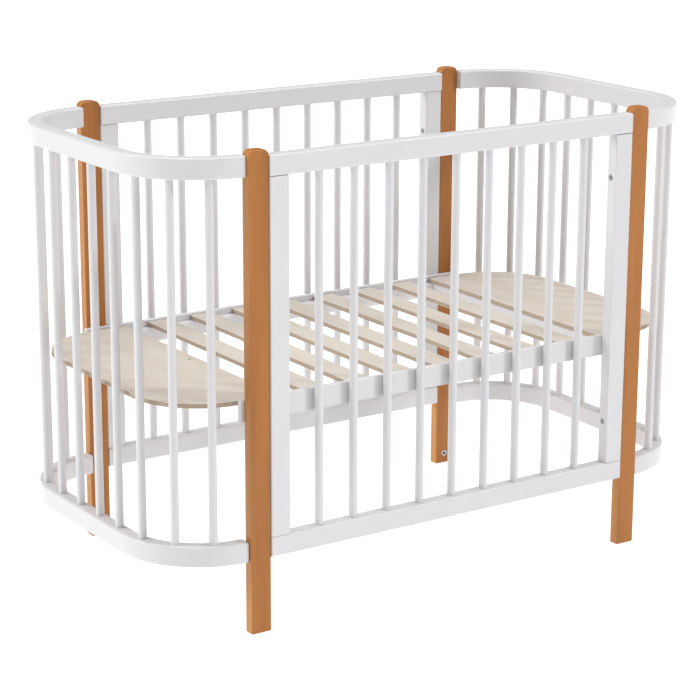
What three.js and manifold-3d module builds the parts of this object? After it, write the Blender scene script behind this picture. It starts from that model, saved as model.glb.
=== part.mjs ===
// Baby crib: four beech legs, two railed long sides, two rounded ends, slatted base.
// Millimetres, +Z up, +X along the crib, origin on the floor under its centre.
import * as THREE from 'three';
import { mergeVertices } from 'three/addons/utils/BufferGeometryUtils.js';
import Module from 'manifold-3d';

// ---- Named sizes -------------------------------------------------------------
const FIT_GAP = 0.3; // clearance between any two pieces that touch
const LEG_HEIGHT = 900;
const LEG_WIDTH = 42; // along X
const LEG_DEPTH = 22; // along Y
const LEG_TOP_RADIUS = 12;
const LEG_EDGE_RADIUS = 2.5;
const LEG_FOOT_CHAMFER = 1.5;
const LEG_SPAN_X = 914; // outer face to outer face of the legs, along X
const LEG_SPAN_Y = 651; // outer face to outer face of the legs, along Y

const RAIL_HEIGHT = 39;
const RAIL_DEPTH = 28;
const RAIL_PROUD = 3; // how far a side rail stands out of the leg's outer face
const RAIL_EDGE_RADIUS = 4;
const SIDE_TOP_DROP = 11; // leg top down to the top of the side panel
const SIDE_FOOT = 143.5; // floor up to the underside of the side panel
const STILE_WIDTH = 40;
const STILE_EDGE_RADIUS = 2;

const SPINDLE_DIAMETER = 16;
const SPINDLE_SEAT = 14; // depth that a spindle enters its rail
const SIDE_SPINDLES = 9;
const SIDE_SPINDLE_PITCH = 76;

const END_REACH = 171.5; // outer face of the legs out to the far face of a rounded end
const END_INSET = 6.5; // outer face of an end rail behind the leg's outer Y face
const END_CORNER_RADIUS = 171;
const END_TOP_DROP = 9.5; // leg top down to the top of an end rail
const END_FOOT = 139.5; // floor up to the underside of an end frame
const END_SPINDLES = 10;
const END_FIRST_SPINDLE = 62; // leg face to the first spindle, along the end line
const END_CORNER_PITCH = 70; // spindle spacing round a corner, along the end line
const END_CORNER_SPINDLES = 3; // spindles that keep the corner spacing, at each corner

const BASE_TOP = 444; // floor up to the top edge of the base side rails
const BASE_RAIL_HEIGHT = 41.5;
const BASE_RAIL_DEPTH = 11;
const BASE_RAIL_OVERHANG = 6.5; // how far a base rail runs past the leg's outer X face
const LEDGE_DEPTH = 19; // width of the step that carries the slats
const LEDGE_DROP = 13; // step below the rail's top edge
const SLAT_THICKNESS = 9;
const SLAT_WIDTH = 50;
const SLAT_COUNT = 7;
const SLAT_PITCH = 100;
const CROSS_RAIL_WIDTH = 22;
const CROSS_RAIL_X = 388; // centre line of a cross rail
const SLAT_EDGE_RADIUS = 1.2;
const BOARD_GAP = 2.5; // board edge inside the inner face of the rounded end rail

const BOLT_SHANK = 6;
const BOLT_HEAD = 12;
const BOLT_HEAD_HEIGHT = 7;
const BOLT_HEX = 5;
const BOLT_HEX_DEPTH = 3.5;
const BOLT_BITE = 24; // shank length inside the leg or its stop
const BOLT_INSET = 85; // bolt centre from the nearer rail of its panel
const BOLT_CLEARANCE = 0.35; // radial play round shanks and heads
const COUNTERBORE_DEPTH = 8;
const BASE_BOLT_BITE = 14;
const BASE_BOLT_SHARE = 0.35; // height of the base bolts as a share of the side board
const CUTTER_RUNOUT = 1; // how far a drill runs past the face it enters

const WELD = 1e-4; // points closer than this are one point
const ROUND_SIDES = 12;
const BORE_SIDES = 12;
const CORNER_STEPS = 3;
const ARC_STEPS = 12;

// ---- Sizes that follow from the named ones ------------------------------------
const LEG_OUTER_X = LEG_SPAN_X / 2;
const LEG_OUTER_Y = LEG_SPAN_Y / 2;
const LEG_INNER_X = LEG_OUTER_X - LEG_WIDTH;
const LEG_INNER_Y = LEG_OUTER_Y - LEG_DEPTH;
const LEG_MID_X = LEG_OUTER_X - LEG_WIDTH / 2;
const LEG_MID_Y = LEG_OUTER_Y - LEG_DEPTH / 2;
const SIDE_RAIL_Y = LEG_OUTER_Y + RAIL_PROUD - RAIL_DEPTH / 2;
const SIDE_TOP = LEG_HEIGHT - SIDE_TOP_DROP;
const STILE_BOTTOM = SIDE_FOOT + RAIL_HEIGHT + FIT_GAP;
const STILE_TOP = SIDE_TOP - RAIL_HEIGHT - FIT_GAP;
const PANEL_HALF = LEG_INNER_X - FIT_GAP;
const STILE_DEPTH = LEG_DEPTH + RAIL_PROUD; // flush with the legs inside and the rails outside
const STILE_MID_X = PANEL_HALF - STILE_WIDTH / 2;
const STILE_INNER_X = PANEL_HALF - STILE_WIDTH;
const BOLT_LEVELS = [STILE_BOTTOM + BOLT_INSET, STILE_TOP - BOLT_INSET];

const END_OUTER_X = LEG_OUTER_X + END_REACH;
const END_OUTER_Y = LEG_OUTER_Y - END_INSET;
const END_LINE_X = END_OUTER_X - RAIL_DEPTH / 2;
const END_LINE_Y = END_OUTER_Y - RAIL_DEPTH / 2;
const END_ROOM = END_LINE_X - LEG_OUTER_X - FIT_GAP; // widest corner that still clears the legs
const END_LINE_RADIUS = Math.min(END_CORNER_RADIUS - RAIL_DEPTH / 2, END_ROOM);
const END_TOP = LEG_HEIGHT - END_TOP_DROP;

const LEDGE_TOP = BASE_TOP - LEDGE_DROP;
const BASE_BOTTOM = BASE_TOP - BASE_RAIL_HEIGHT;
const BASE_OUTER_Y = LEG_INNER_Y - FIT_GAP;
const BASE_INNER_Y = BASE_OUTER_Y - BASE_RAIL_DEPTH;
const SLAT_BOTTOM = LEDGE_TOP + FIT_GAP;
const CROSS_INNER_X = CROSS_RAIL_X - CROSS_RAIL_WIDTH / 2;
const BOARD_INSET = RAIL_DEPTH + BOARD_GAP;
const BASE_BOLT_Z = BASE_BOTTOM + BASE_RAIL_HEIGHT * BASE_BOLT_SHARE;

// ---- Solid helpers -----------------------------------------------------------
const wasm = await Module();
wasm.setup();

function solidFrom(geometry) {
  const plain = geometry.clone();
  plain.deleteAttribute('normal');
  plain.deleteAttribute('uv');
  const merged = mergeVertices(plain, WELD);
  return new wasm.Manifold(new wasm.Mesh({
    numProp: 3,
    vertProperties: merged.attributes.position.array,
    triVerts: new Uint32Array(merged.index.array),
  }));
}

function geometryFrom(solid) {
  const mesh = solid.getMesh();
  const geometry = new THREE.BufferGeometry();
  const flat = new Float32Array(mesh.numVert * 3);
  for (let i = 0; i < mesh.numVert; i += 1) {
    flat[3 * i] = mesh.vertProperties[mesh.numProp * i];
    flat[3 * i + 1] = mesh.vertProperties[mesh.numProp * i + 1];
    flat[3 * i + 2] = mesh.vertProperties[mesh.numProp * i + 2];
  }
  geometry.setAttribute('position', new THREE.BufferAttribute(flat, 3));
  geometry.setIndex(new THREE.BufferAttribute(new Uint32Array(mesh.triVerts), 1));
  geometry.computeVertexNormals();
  return geometry;
}

// Points of a rectangle of size w by h round the origin, each corner an arc of radius r.
function roundedOutline(w, h, r, steps = CORNER_STEPS) {
  const corners = [[1, 1], [-1, 1], [-1, -1], [1, -1]];
  const points = [];
  corners.forEach(([sx, sy], quarter) => {
    for (let k = 0; k <= steps; k += 1) {
      const turn = (quarter + k / steps) * Math.PI / 2;
      const x = sx * (w / 2 - r) + r * Math.cos(turn);
      const y = sy * (h / 2 - r) + r * Math.sin(turn);
      points.push(new THREE.Vector2(x, y));
    }
  });
  return points;
}

// Prism of an outline, centred on the origin along the named axis.
function prism(points, length, axis) {
  const shape = new THREE.Shape(points);
  const body = new THREE.ExtrudeGeometry(shape, { depth: length, bevelEnabled: false });
  body.translate(0, 0, -length / 2);
  if (axis === 'x') {
    body.rotateZ(Math.PI / 2);
    body.rotateY(Math.PI / 2);
  }
  if (axis === 'y') {
    body.rotateX(Math.PI / 2);
  }
  return solidFrom(body);
}

function box(x0, x1, y0, y1, z0, z1) {
  const body = new THREE.BoxGeometry(x1 - x0, y1 - y0, z1 - z0);
  body.translate((x0 + x1) / 2, (y0 + y1) / 2, (z0 + z1) / 2);
  return solidFrom(body);
}

// Round bar between two distances along one axis, through a point given by its other two.
function bar(axis, from, to, across, diameter, sides = ROUND_SIDES) {
  const body = new THREE.CylinderGeometry(diameter / 2, diameter / 2, to - from, sides);
  const middle = (from + to) / 2;
  if (axis === 'x') {
    body.rotateZ(Math.PI / 2);
    body.translate(middle, across[0], across[1]);
  }
  if (axis === 'y') {
    body.translate(across[0], middle, across[1]);
  }
  if (axis === 'z') {
    body.rotateX(Math.PI / 2);
    body.translate(across[0], across[1], middle);
  }
  return solidFrom(body);
}

// Section swept along a level path; each path entry is a point and its outward direction.
function sweep(section, path) {
  const ring = section.length;
  const positions = [];
  for (const { point, out } of path) {
    for (const s of section) {
      positions.push(point.x + out.x * s.x, point.y + out.y * s.x, s.y);
    }
  }
  const index = [];
  for (let i = 0; i < path.length - 1; i += 1) {
    for (let j = 0; j < ring; j += 1) {
      const a = i * ring + j;
      const b = i * ring + (j + 1) % ring;
      index.push(a, b, a + ring, b, b + ring, a + ring);
    }
  }
  const caps = THREE.ShapeUtils.triangulateShape(section, []);
  const last = (path.length - 1) * ring;
  for (const [a, b, c] of caps) {
    index.push(a, c, b);
    index.push(last + a, last + b, last + c);
  }
  const body = new THREE.BufferGeometry();
  body.setAttribute('position', new THREE.Float32BufferAttribute(positions, 3));
  body.setIndex(index);
  const solid = solidFrom(body);
  if (solid.volume() > 0) {
    return solid;
  }
  for (let i = 0; i < index.length; i += 3) {
    [index[i + 1], index[i + 2]] = [index[i + 2], index[i + 1]];
  }
  body.setIndex(index);
  return solidFrom(body);
}

// ---- Rounded end line, for the end at +X --------------------------------------
const ARC_LENGTH = END_LINE_RADIUS * Math.PI / 2;
const END_LEAD = END_LINE_X - END_LINE_RADIUS - LEG_OUTER_X; // straight run off the leg
const END_FAR = 2 * (END_LINE_Y - END_LINE_RADIUS); // straight run across the far side
const END_LENGTH = 2 * END_LEAD + 2 * ARC_LENGTH + END_FAR;

// Point and outward direction at a distance along the end line from the front leg.
function endLineAt(distance) {
  const half = END_LENGTH / 2;
  const mirrored = distance > half;
  const s = mirrored ? END_LENGTH - distance : distance;
  let x = LEG_OUTER_X + s;
  let y = -END_LINE_Y;
  let turn = 0;
  if (s > END_LEAD) {
    turn = Math.min((s - END_LEAD) / END_LINE_RADIUS, Math.PI / 2);
    x = END_LINE_X - END_LINE_RADIUS + END_LINE_RADIUS * Math.sin(turn);
    y = -END_LINE_Y + END_LINE_RADIUS * (1 - Math.cos(turn));
  }
  if (s > END_LEAD + ARC_LENGTH) {
    y += s - END_LEAD - ARC_LENGTH;
  }
  const side = mirrored ? -1 : 1;
  return {
    point: new THREE.Vector2(x, y * side),
    out: new THREE.Vector2(Math.sin(turn), -Math.cos(turn) * side),
  };
}

function endPath() {
  const stops = [FIT_GAP];
  for (let k = 0; k <= ARC_STEPS; k += 1) {
    stops.push(END_LEAD + ARC_LENGTH * k / ARC_STEPS);
  }
  const back = stops.map((s) => END_LENGTH - s).reverse();
  return [...stops, ...back].map(endLineAt);
}

const endSpindleSpots = [];
const cornerRun = END_FIRST_SPINDLE + (END_CORNER_SPINDLES - 1) * END_CORNER_PITCH;
const farGaps = END_SPINDLES - 2 * END_CORNER_SPINDLES + 1;
const farPitch = (END_LENGTH - 2 * cornerRun) / farGaps;
for (let k = 0; k < END_CORNER_SPINDLES; k += 1) {
  const along = END_FIRST_SPINDLE + k * END_CORNER_PITCH;
  endSpindleSpots.push(endLineAt(along).point, endLineAt(END_LENGTH - along).point);
}
for (let k = 1; k < farGaps; k += 1) {
  endSpindleSpots.push(endLineAt(cornerRun + k * farPitch).point);
}

function endRail(bottom) {
  const section = roundedOutline(RAIL_DEPTH, RAIL_HEIGHT, RAIL_EDGE_RADIUS)
    .map((p) => new THREE.Vector2(p.x, p.y + bottom + RAIL_HEIGHT / 2));
  return sweep(section, endPath());
}

// ---- Materials ---------------------------------------------------------------
const beech = { color: 0xb9773f, roughness: 0.5, metalness: 0 };
const white = { color: 0xe6e5e6, roughness: 0.42, metalness: 0 };
const birch = { color: 0xdcd2c5, roughness: 0.62, metalness: 0 };
const steel = { color: 0x8f9092, roughness: 0.35, metalness: 0.9 };

const crib = new THREE.Group();
crib.name = 'crib';

function add(name, solid, look, place) {
  const mesh = new THREE.Mesh(geometryFrom(solid), new THREE.MeshStandardMaterial(look));
  mesh.name = name;
  if (place) {
    mesh.position.set(...place.at);
    mesh.rotation.z = place.turn ?? 0;
  }
  crib.add(mesh);
}

// ---- Legs --------------------------------------------------------------------
const SIDES = [['front', -1], ['back', 1]];
const ENDS = [['left', -1], ['right', 1]];

function legBlank() {
  const w = LEG_WIDTH / 2;
  const face = [];
  face.push(new THREE.Vector2(-w + LEG_FOOT_CHAMFER, 0));
  face.push(new THREE.Vector2(w - LEG_FOOT_CHAMFER, 0));
  face.push(new THREE.Vector2(w, LEG_FOOT_CHAMFER));
  for (let k = 0; k <= CORNER_STEPS + 2; k += 1) {
    const turn = k / (CORNER_STEPS + 2) * Math.PI / 2;
    const x = w - LEG_TOP_RADIUS * (1 - Math.cos(turn));
    const z = LEG_HEIGHT - LEG_TOP_RADIUS * (1 - Math.sin(turn));
    face.push(new THREE.Vector2(x, z));
  }
  for (let k = CORNER_STEPS + 2; k >= 0; k -= 1) {
    const turn = k / (CORNER_STEPS + 2) * Math.PI / 2;
    const x = -w + LEG_TOP_RADIUS * (1 - Math.cos(turn));
    const z = LEG_HEIGHT - LEG_TOP_RADIUS * (1 - Math.sin(turn));
    face.push(new THREE.Vector2(x, z));
  }
  face.push(new THREE.Vector2(-w, LEG_FOOT_CHAMFER));
  const elevation = prism(face, LEG_DEPTH + 2, 'y');
  const plan = prism(roundedOutline(LEG_WIDTH, LEG_DEPTH, LEG_EDGE_RADIUS), LEG_HEIGHT * 2 + 2, 'z');
  return elevation.intersect(plan);
}

const shankBore = BOLT_SHANK + 2 * BOLT_CLEARANCE;
const headBore = BOLT_HEAD + 2 * BOLT_CLEARANCE;

for (const [side, sy] of SIDES) {
  for (const [end, sx] of ENDS) {
    let leg = legBlank().translate([sx * LEG_MID_X, sy * LEG_MID_Y, 0]);
    const inner = sx * LEG_INNER_X;
    const deep = sx * (LEG_INNER_X + BOLT_BITE);
    const start = Math.min(inner - sx, deep);
    const stop = Math.max(inner - sx, deep);
    for (const level of BOLT_LEVELS) {
      leg = leg.subtract(bar('x', start, stop, [sy * LEG_MID_Y, level], shankBore, BORE_SIDES));
    }
    const mouth = sy * (LEG_INNER_Y - CUTTER_RUNOUT);
    const stopY = sy * (LEG_INNER_Y + BASE_BOLT_BITE);
    const baseHole = bar('y', Math.min(mouth, stopY), Math.max(mouth, stopY),
      [sx * LEG_MID_X, BASE_BOLT_Z], shankBore, BORE_SIDES);
    leg = leg.subtract(baseHole);
    add(`leg_${side}_${end}`, leg, beech);
  }
}

// ---- Long side panels -----------------------------------------------------------
function sideRail(bottom, seatFrom, seatTo) {
  const outline = roundedOutline(RAIL_DEPTH, RAIL_HEIGHT, RAIL_EDGE_RADIUS);
  let rail = prism(outline, 2 * PANEL_HALF, 'x').translate([0, 0, bottom + RAIL_HEIGHT / 2]);
  for (let k = 0; k < SIDE_SPINDLES; k += 1) {
    const x = (k - (SIDE_SPINDLES - 1) / 2) * SIDE_SPINDLE_PITCH;
    const bore = SPINDLE_DIAMETER + 2 * FIT_GAP;
    rail = rail.subtract(bar('z', seatFrom, seatTo, [x, 0], bore, BORE_SIDES));
  }
  return rail;
}

function stile(sx, sy) {
  const outline = roundedOutline(STILE_WIDTH, STILE_DEPTH, STILE_EDGE_RADIUS, 2);
  const length = STILE_TOP - STILE_BOTTOM;
  const middle = [sx * STILE_MID_X, sy * RAIL_PROUD / 2, STILE_BOTTOM + length / 2];
  let post = prism(outline, length, 'z').translate(middle);
  const inner = sx * STILE_INNER_X;
  const outer = sx * PANEL_HALF;
  const boreEnd = sx * (STILE_INNER_X + COUNTERBORE_DEPTH);
  for (const level of BOLT_LEVELS) {
    const through = bar('x', Math.min(inner, outer) - CUTTER_RUNOUT, Math.max(inner, outer) + CUTTER_RUNOUT,
      [0, level], shankBore, BORE_SIDES);
    const counter = bar('x', Math.min(inner - sx, boreEnd), Math.max(inner - sx, boreEnd),
      [0, level], headBore, BORE_SIDES);
    post = post.subtract(through).subtract(counter);
  }
  return post;
}

// Socket screw along +X: head face at x = 0, shank running to +X.
function bolt(shankLength) {
  const head = bar('x', 0, BOLT_HEAD_HEIGHT, [0, 0], BOLT_HEAD);
  const shank = bar('x', BOLT_HEAD_HEIGHT / 2, BOLT_HEAD_HEIGHT + shankLength, [0, 0], BOLT_SHANK);
  const hex = bar('x', -CUTTER_RUNOUT, BOLT_HEX_DEPTH, [0, 0], BOLT_HEX * 2 / Math.sqrt(3), 6);
  return head.add(shank).subtract(hex);
}

const SEAT_PLAY = FIT_GAP; // end play under each spindle
const sideBottomSeat = SIDE_FOOT + RAIL_HEIGHT - SPINDLE_SEAT;
const sideTopSeat = SIDE_TOP - RAIL_HEIGHT + SPINDLE_SEAT;
const panelBoltShank = STILE_WIDTH - COUNTERBORE_DEPTH + BOLT_BITE - 1;

for (const [side, sy] of SIDES) {
  const bottom = sideRail(SIDE_FOOT, sideBottomSeat - SEAT_PLAY,
    SIDE_FOOT + RAIL_HEIGHT + CUTTER_RUNOUT);
  const top = sideRail(SIDE_TOP - RAIL_HEIGHT, SIDE_TOP - RAIL_HEIGHT - CUTTER_RUNOUT,
    sideTopSeat + SEAT_PLAY);
  add(`rail_top_${side}`, top, white, { at: [0, sy * SIDE_RAIL_Y, 0] });
  add(`rail_bottom_${side}`, bottom, white, { at: [0, sy * SIDE_RAIL_Y, 0] });
  for (let k = 0; k < SIDE_SPINDLES; k += 1) {
    const x = (k - (SIDE_SPINDLES - 1) / 2) * SIDE_SPINDLE_PITCH;
    const spindle = bar('z', sideBottomSeat, sideTopSeat, [0, 0], SPINDLE_DIAMETER);
    add(`spindle_${side}_${k + 1}`, spindle, white, { at: [x, sy * SIDE_RAIL_Y, 0] });
  }
  for (const [end, sx] of ENDS) {
    add(`stile_${side}_${end}`, stile(sx, sy), white, { at: [0, sy * LEG_MID_Y, 0] });
    BOLT_LEVELS.forEach((level, k) => {
      const headX = STILE_INNER_X + COUNTERBORE_DEPTH - FIT_GAP - BOLT_HEAD_HEIGHT;
      const name = `bolt_${side}_${end}_${k === 0 ? 'lower' : 'upper'}`;
      const turn = sx > 0 ? 0 : Math.PI;
      add(name, bolt(panelBoltShank), steel, { at: [sx * headX, sy * LEG_MID_Y, level], turn });
    });
  }
}

// ---- Rounded ends ---------------------------------------------------------------
const endTopSeat = END_TOP - RAIL_HEIGHT + SPINDLE_SEAT;
const endSpindleFoot = END_FOOT + RAIL_HEIGHT - SPINDLE_SEAT;

function endTopRail() {
  let rail = endRail(END_TOP - RAIL_HEIGHT);
  const bore = SPINDLE_DIAMETER + 2 * FIT_GAP;
  for (const spot of endSpindleSpots) {
    const seat = bar('z', END_TOP - RAIL_HEIGHT - 1, endTopSeat + SEAT_PLAY,
      [spot.x, spot.y], bore, BORE_SIDES);
    rail = rail.subtract(seat);
  }
  return rail;
}

function endFrame() {
  let frame = endRail(END_FOOT);
  for (const spot of endSpindleSpots) {
    const spindle = bar('z', endSpindleFoot, endTopSeat, [spot.x, spot.y], SPINDLE_DIAMETER);
    frame = frame.add(spindle);
  }
  return frame;
}

for (const [end, sx] of ENDS) {
  const turn = sx > 0 ? 0 : Math.PI;
  add(`end_rail_top_${end}`, endTopRail(), white, { at: [0, 0, 0], turn });
  add(`end_frame_${end}`, endFrame(), white, { at: [0, 0, 0], turn });
}

// ---- Slatted base ---------------------------------------------------------------
const baseHalf = LEG_OUTER_X + BASE_RAIL_OVERHANG;
const ledgeHalf = CROSS_INNER_X - FIT_GAP;
const baseBoltShank = BASE_RAIL_DEPTH + BASE_BOLT_BITE - 1;

for (const [side, sy] of SIDES) {
  const low = sy > 0 ? BASE_INNER_Y : -BASE_OUTER_Y;
  const high = sy > 0 ? BASE_OUTER_Y : -BASE_INNER_Y;
  const ledgeLow = sy > 0 ? BASE_INNER_Y - LEDGE_DEPTH : -BASE_INNER_Y - 1;
  const ledgeHigh = sy > 0 ? BASE_INNER_Y + 1 : -BASE_INNER_Y + LEDGE_DEPTH;
  let rail = box(-baseHalf, baseHalf, low, high, BASE_BOTTOM, BASE_TOP);
  rail = rail.add(box(-ledgeHalf, ledgeHalf, ledgeLow, ledgeHigh, BASE_BOTTOM, LEDGE_TOP));
  for (const [, sx] of ENDS) {
    const hole = bar('y', low - 1, high + 1, [sx * LEG_MID_X, BASE_BOLT_Z], shankBore, BORE_SIDES);
    rail = rail.subtract(hole);
  }
  add(`base_rail_${side}`, rail, white);
  for (const [end, sx] of ENDS) {
    const turn = sy > 0 ? Math.PI / 2 : -Math.PI / 2;
    const headY = sy * (BASE_INNER_Y - FIT_GAP - BOLT_HEAD_HEIGHT);
    add(`base_bolt_${side}_${end}`, bolt(baseBoltShank), steel,
      { at: [sx * LEG_MID_X, headY, BASE_BOLT_Z], turn });
  }
}

const crossHalf = BASE_INNER_Y - FIT_GAP;
for (const [end, sx] of ENDS) {
  const crossLow = sx * CROSS_RAIL_X - CROSS_RAIL_WIDTH / 2;
  const cross = box(crossLow, crossLow + CROSS_RAIL_WIDTH, -crossHalf, crossHalf,
    BASE_BOTTOM, LEDGE_TOP);
  add(`cross_rail_${end}`, cross, white);
}

const slatHalf = BASE_INNER_Y - FIT_GAP;
for (let k = 0; k < SLAT_COUNT; k += 1) {
  const x = (k - (SLAT_COUNT - 1) / 2) * SLAT_PITCH;
  const outline = roundedOutline(SLAT_WIDTH, SLAT_THICKNESS, SLAT_EDGE_RADIUS, 1);
  const slat = prism(outline, 2 * slatHalf, 'y');
  add(`slat_${k + 1}`, slat, birch, { at: [x, 0, SLAT_BOTTOM + SLAT_THICKNESS / 2] });
}

// D-shaped board for the end at +X: straight edge over the cross rail, two round corners.
function endBoard() {
  const farX = END_OUTER_X - BOARD_INSET;
  const halfY = Math.min(END_OUTER_Y - BOARD_INSET, BASE_INNER_Y - FIT_GAP);
  const radius = END_LINE_RADIUS + RAIL_DEPTH / 2 - BOARD_INSET;
  const points = [new THREE.Vector2(CROSS_INNER_X, -halfY)];
  for (let k = 0; k <= ARC_STEPS; k += 1) {
    const turn = k / ARC_STEPS * Math.PI / 2;
    points.push(new THREE.Vector2(farX - radius * (1 - Math.sin(turn)),
      -halfY + radius * (1 - Math.cos(turn))));
  }
  for (let k = ARC_STEPS; k >= 0; k -= 1) {
    const turn = k / ARC_STEPS * Math.PI / 2;
    points.push(new THREE.Vector2(farX - radius * (1 - Math.sin(turn)),
      halfY - radius * (1 - Math.cos(turn))));
  }
  points.push(new THREE.Vector2(CROSS_INNER_X, halfY));
  return prism(points, SLAT_THICKNESS, 'z');
}

for (const [end, sx] of ENDS) {
  const turn = sx > 0 ? 0 : Math.PI;
  add(`end_board_${end}`, endBoard(), birch, { at: [0, 0, SLAT_BOTTOM + SLAT_THICKNESS / 2], turn });
}

export default crib;
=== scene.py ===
import math

import bpy
import numpy as np
from mathutils import Matrix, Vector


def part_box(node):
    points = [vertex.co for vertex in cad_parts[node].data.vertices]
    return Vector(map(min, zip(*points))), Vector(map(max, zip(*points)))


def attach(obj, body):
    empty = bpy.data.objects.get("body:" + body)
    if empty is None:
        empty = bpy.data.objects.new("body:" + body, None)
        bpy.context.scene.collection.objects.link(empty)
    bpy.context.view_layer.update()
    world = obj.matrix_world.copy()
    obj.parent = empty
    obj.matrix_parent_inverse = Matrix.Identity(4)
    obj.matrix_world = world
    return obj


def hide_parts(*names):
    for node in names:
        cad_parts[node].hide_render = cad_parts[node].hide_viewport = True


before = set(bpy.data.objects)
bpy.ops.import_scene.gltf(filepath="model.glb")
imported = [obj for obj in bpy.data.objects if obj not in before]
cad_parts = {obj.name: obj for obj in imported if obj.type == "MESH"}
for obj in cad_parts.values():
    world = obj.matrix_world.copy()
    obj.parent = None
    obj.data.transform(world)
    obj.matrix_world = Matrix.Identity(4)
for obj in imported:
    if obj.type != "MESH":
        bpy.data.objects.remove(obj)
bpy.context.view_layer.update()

bl_info = {
    "name": "Round-Ended Crib",
    "version": (1, 0, 0),
    "blender": (4, 5, 0),
    "location": "3D View > Sidebar > Crib",
    "description": "Builds a railed crib with flat wooden legs, rounded ends and a slatted base",
    "category": "Add Mesh",
}

MM = 0.001
EPS = 1e-4  # closest that a ring may lie to the next, in metres
QUARTER_TURN = math.pi / 2
SHARP_ANGLE = math.radians(35)
SAME_WAY = 0.6  # least cosine between a true normal and its face, below which the face is a bore's wall

# Every side and row with the sign of its x or y
SIDES = (("left", -1), ("right", 1))
ROWS = (("front", -1), ("back", 1))

# Sizes that the frame's boxes don't tell
FOOT_EASE = 1.5 * MM
FOOT_SLOPE = 0.8
END_RAIL_DEPTH = 28 * MM
END_CORNER_RADIUS = 157 * MM
END_SPINDLE_SEAT = 25 * MM
END_SPINDLES_FROM_LEG = (62 * MM, 132 * MM, 202 * MM)
END_SPINDLES_FAR = 6
BASE_BOARD_DEPTH = 11 * MM
LEDGE_LENGTH = 753.4 * MM
LEDGE_HEIGHT = 28.5 * MM
END_BOARD_OUTER_CORNER = 140.5 * MM
END_BOARD_INNER_CORNER = 3 * MM
SLATS = 7
PLIES = 7
PLY_EDGE_FACING = 0.55  # a surface that faces up or down less squarely than this is a ply edge

# Edges that the panel doesn't offer, and how far each bar's ends are eased
BASE_BOARD_EDGE = 1.6 * MM
LEDGE_EDGE = 1.5 * MM
CROSS_RAIL_EDGE = 1.5 * MM
RAIL_END_EASE = 1.2 * MM
STILE_END_EASE = 0.8 * MM
END_RAIL_END_EASE = 2.2 * MM
BASE_BOARD_END_EASE = 1.2 * MM
LEDGE_END_EASE = 1 * MM
CROSS_RAIL_END_EASE = 0.8 * MM
SLAT_END_EASE = 0.6 * MM
DOWEL_EASE = 1 * MM

# How finely the surfaces are divided
CORNER_STEPS = 4
FINE_CORNER_STEPS = 5
EASE_STEPS = 3
DOWEL_SIDES = 28
LEG_TOP_STATIONS = 13
ARC_STATIONS = 25
FAR_STATIONS = 5
BOARD_CORNER_STATIONS = 29


# Sizes read from the frame's own nodes

def low(node):
    """Lowest corner of a frame node as an array."""
    return np.array(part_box(node)[0])


def high(node):
    """Highest corner of a frame node as an array."""
    return np.array(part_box(node)[1])


def middle(node):
    """Centre of a frame node's box."""
    return (low(node) + high(node)) / 2


def span(node):
    """Lengths of a frame node's box along x, y and z."""
    return high(node) - low(node)


# Surfaces: each one is rings of points carried along a path

def straight(start, along, side):
    """Path: start + s * along. The section's first axis is side, its second is along x side."""
    start, along, side = (np.array(v, float) for v in (start, along, side))

    def at(s):
        ones = np.ones((len(s), 1))
        return start + s[:, None] * along, ones * along, ones * side

    return at


def end_line(sx, z, inset_x, reach, half_width, radius):
    """Path round one rounded end, from the front leg to the back leg at height z: a straight lead from
    x = inset_x, a quarter circle, a straight far side, a quarter circle and a lead back. On a quarter circle
    the point is its centre + radius * (sin a, -cos a) with a = arc / radius. Also the distances at which the
    straights and circles meet."""
    lead = reach - radius - inset_x
    far = 2 * (half_width - radius)
    quarter = radius * QUARTER_TURN
    marks = np.cumsum([0, lead, quarter, far, quarter, lead])

    def at(s):
        turn = (np.clip(s - marks[1], 0, quarter) + np.clip(s - marks[3], 0, quarter)) / radius
        first = np.minimum(turn, QUARTER_TURN)
        second = np.maximum(turn - QUARTER_TURN, 0)
        x = inset_x + np.clip(s, 0, lead) + radius * np.sin(first)
        x = x - radius * (1 - np.cos(second)) - np.clip(s - marks[4], 0, lead)
        y = -half_width + radius * (1 - np.cos(first)) + np.clip(s - marks[2], 0, far)
        y = y + radius * np.sin(second)
        centre = np.stack([sx * x, y, np.full_like(s, z)], 1)
        along = np.stack([sx * np.cos(turn), np.sin(turn), 0 * s], 1)
        side = np.stack([sx * np.sin(turn), -np.cos(turn), 0 * s], 1)
        return centre, along, side

    return at, marks


def backwards(path, length):
    """The same path walked from its far end, with the section's first axis kept on its side."""

    def at(s):
        centre, along, side = path(length - s)
        return centre, -along, side

    return at


def eased_stations(length, ease, steps, between=()):
    """Distances along a bar and how far its rings draw in: at both ends the rings follow a quarter circle,
    ease * (1 - cos a) from the end and drawn in by ease * (1 - sin a)."""
    a = np.linspace(0, QUARTER_TURN, steps + 1)
    near, draw = ease * (1 - np.cos(a)), ease * (1 - np.sin(a))
    mid = np.array([v for v in between if ease + EPS < v < length - ease - EPS])
    s = np.concatenate([near, mid, length - near[::-1]])
    return s, np.concatenate([draw, 0 * mid, draw[::-1]])


def box_turns(steps=CORNER_STEPS):
    """Angles of the outward normals round a rounded rectangle, in the order of its points."""
    quarter = np.linspace(0, QUARTER_TURN, steps + 1)
    return (quarter[None, :] + np.arange(4)[:, None] * QUARTER_TURN).ravel()


def circle_turns(sides):
    """Equal angles round a circle."""
    return np.arange(sides) * 2 * math.pi / sides


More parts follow.
